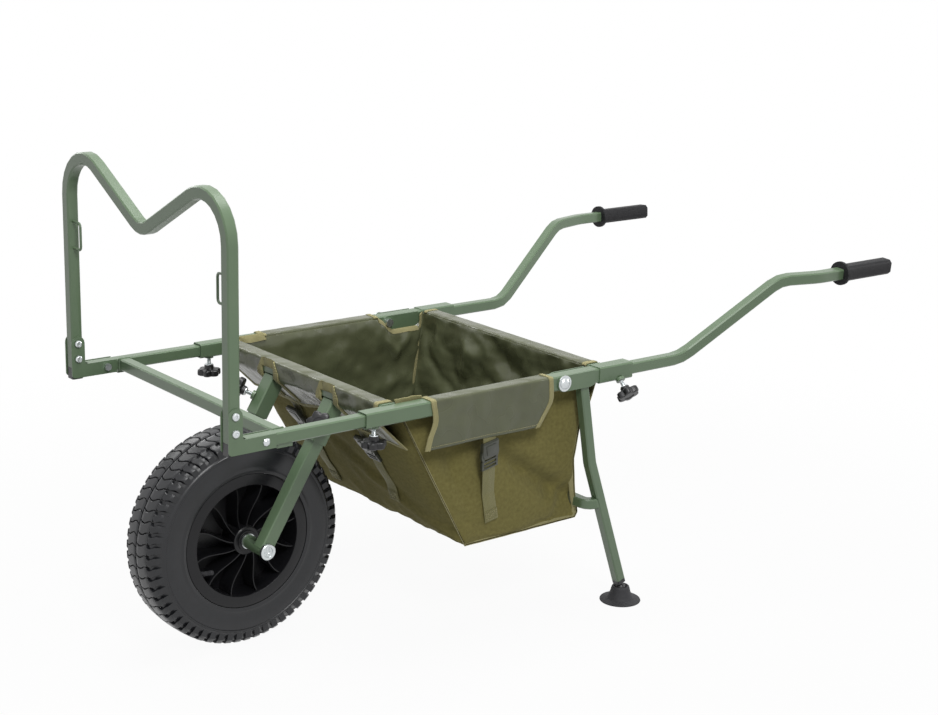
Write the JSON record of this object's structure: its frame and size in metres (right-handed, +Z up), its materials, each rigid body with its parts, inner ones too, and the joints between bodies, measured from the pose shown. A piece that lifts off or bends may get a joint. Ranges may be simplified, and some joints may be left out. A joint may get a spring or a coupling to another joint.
{
  "type": "fishing trolley",
  "caption": "Wheelbarrow-style fishing trolley: square-tube frame with a sliding front extension, M-shaped load bar, fork wheel, folding rear legs, sliding handles and a drop-in fabric bag.",
  "frame": {"origin": "on the ground, under the middle of the whole trolley (bottom centre of its bounding box)", "axes": "+X towards the handles, +Z up, -Y is the left side of the person pushing"},
  "size_m": [1.574, 0.783, 0.8995],
  "materials": {
    "green_paint": "satin powder coat",
    "zinc_plate": "bright zinc plate",
    "black_plastic": "moulded, slightly glossy",
    "black_rubber": "matt rubber",
    "tyre_rubber": "matt tyre rubber",
    "khaki_cloth": "woven polyester, coated inside",
    "coated_cloth": "coated waterproof cloth",
    "webbing": "25 mm webbing"
  },
  "bodies": {
    "frame": {"rail_left": "green_paint", "rail_right": "green_paint", "main_crossbar": "green_paint", "rear_crossbar": "green_paint", "fork_socket_left": "green_paint", "fork_socket_right": "green_paint", "leg_pivot_bolt_left": "zinc_plate", "leg_pivot_bolt_right": "zinc_plate", "bag_tub": "khaki_cloth", "bag_flap_left": "coated_cloth", "bag_flap_right": "coated_cloth", "bag_flap_front": "coated_cloth", "bag_flap_rear": "coated_cloth", "strap_side_left": "webbing", "strap_side_right": "webbing", "buckle_side_left": "black_plastic", "buckle_side_right": "black_plastic", "strap_front_left": "webbing", "strap_front_right": "webbing", "buckle_front_left": "black_plastic", "buckle_front_right": "black_plastic", "strap_rear_left": "webbing", "strap_rear_right": "webbing"},
    "front_extension": {"extension_tube_left": "green_paint", "extension_tube_right": "green_paint", "front_crossbar": "green_paint", "bar_pivot_bolt_left": "zinc_plate", "bar_pivot_bolt_right": "zinc_plate"},
    "load_bar": {"m_bar": "green_paint", "post_cap_left": "black_plastic", "post_cap_right": "black_plastic", "bar_bracket_left": "green_paint", "bar_bracket_right": "green_paint", "post_bolts_left": "zinc_plate", "post_bolts_right": "zinc_plate"},
    "fork": {"fork_leg_left": "green_paint", "fork_leg_right": "green_paint", "axle_bolt": "zinc_plate", "axle_washer_left": "zinc_plate", "axle_washer_right": "zinc_plate"},
    "wheel": {"tyre": "tyre_rubber", "rim": "black_plastic"},
    "leg_frame": {"leg_left": "green_paint", "leg_right": "green_paint", "leg_brace": "green_paint", "leg_plug_left": "black_plastic", "leg_plug_right": "black_plastic"},
    "foot_left": {"foot_left": "black_rubber"},
    "foot_right": {"foot_right": "black_rubber"},
    "handle_left": {"handle_left": "green_paint", "grip_left": "black_rubber"},
    "handle_right": {"handle_right": "green_paint", "grip_right": "black_rubber"},
    "knob_front_left": {"knob_front_left": "black_plastic"},
    "knob_front_right": {"knob_front_right": "black_plastic"},
    "knob_fork_left": {"knob_fork_left": "black_plastic"},
    "knob_fork_right": {"knob_fork_right": "black_plastic"},
    "knob_rear_left": {"knob_rear_left": "black_plastic"},
    "knob_rear_right": {"knob_rear_right": "black_plastic"}
  },
  "joints": [
    {"name": "extension_slide", "type": "slide", "parent": "frame", "child": "front_extension", "axis": [-1, 0, 0], "range_m": [-0.1, 0.14]},
    {"name": "load_bar_fold", "type": "hinge", "parent": "front_extension", "child": "load_bar", "pos_m": [-0.696, 0, 0.4795], "axis": [0, -1, 0], "range_deg": [0, 90]},
    {"name": "fork_slide", "type": "slide", "parent": "frame", "child": "fork", "axis": [-0.5189, 0, -0.8549], "range_m": [-0.007, 0.03]},
    {"name": "wheel_spin", "type": "hinge", "parent": "fork", "child": "wheel", "pos_m": [-0.583, 0, 0.204], "axis": [0, 1, 0], "continuous": true},
    {"name": "leg_fold", "type": "hinge", "parent": "frame", "child": "leg_frame", "pos_m": [-0.043, 0, 0.4795], "axis": [0, 1, 0], "range_deg": [0, 60], "deforming": ["bag_tub", "strap_side_left", "strap_side_right"]},
    {"name": "foot_tilt_left", "type": "hinge", "parent": "leg_frame", "child": "foot_left", "pos_m": [0.135, -0.292, 0.026], "axis": [0, 1, 0], "range_deg": [-15, 15]},
    {"name": "foot_tilt_right", "type": "hinge", "parent": "leg_frame", "child": "foot_right", "pos_m": [0.135, 0.292, 0.026], "axis": [0, 1, 0], "range_deg": [-15, 15]},
    {"name": "handle_slide_left", "type": "slide", "parent": "frame", "child": "handle_left", "axis": [1, 0, 0], "range_m": [0, 0.09]},
    {"name": "handle_slide_right", "type": "slide", "parent": "frame", "child": "handle_right", "axis": [1, 0, 0], "range_m": [0, 0.09]},
    {"name": "knob_turn_front_left", "type": "hinge", "parent": "frame", "child": "knob_front_left", "pos_m": [-0.468, -0.281, 0.436], "axis": [0, 0, -1], "continuous": true},
    {"name": "knob_turn_front_right", "type": "hinge", "parent": "frame", "child": "knob_front_right", "pos_m": [-0.468, 0.281, 0.436], "axis": [0, 0, -1], "continuous": true},
    {"name": "knob_turn_fork_left", "type": "hinge", "parent": "frame", "child": "knob_fork_left", "pos_m": [-0.48501, -0.13601, 0.43485], "axis": [-0.6045, -0.7071, 0.3669], "continuous": true},
    {"name": "knob_turn_fork_right", "type": "hinge", "parent": "frame", "child": "knob_fork_right", "pos_m": [-0.48501, 0.13601, 0.43485], "axis": [-0.6045, 0.7071, 0.3669], "continuous": true},
    {"name": "knob_turn_rear_left", "type": "hinge", "parent": "frame", "child": "knob_rear_left", "pos_m": [0.102, -0.31681, 0.44369], "axis": [0, -0.7071, -0.7071], "continuous": true},
    {"name": "knob_turn_rear_right", "type": "hinge", "parent": "frame", "child": "knob_rear_right", "pos_m": [0.102, 0.31681, 0.44369], "axis": [0, 0.7071, -0.7071], "continuous": true}
  ]
}
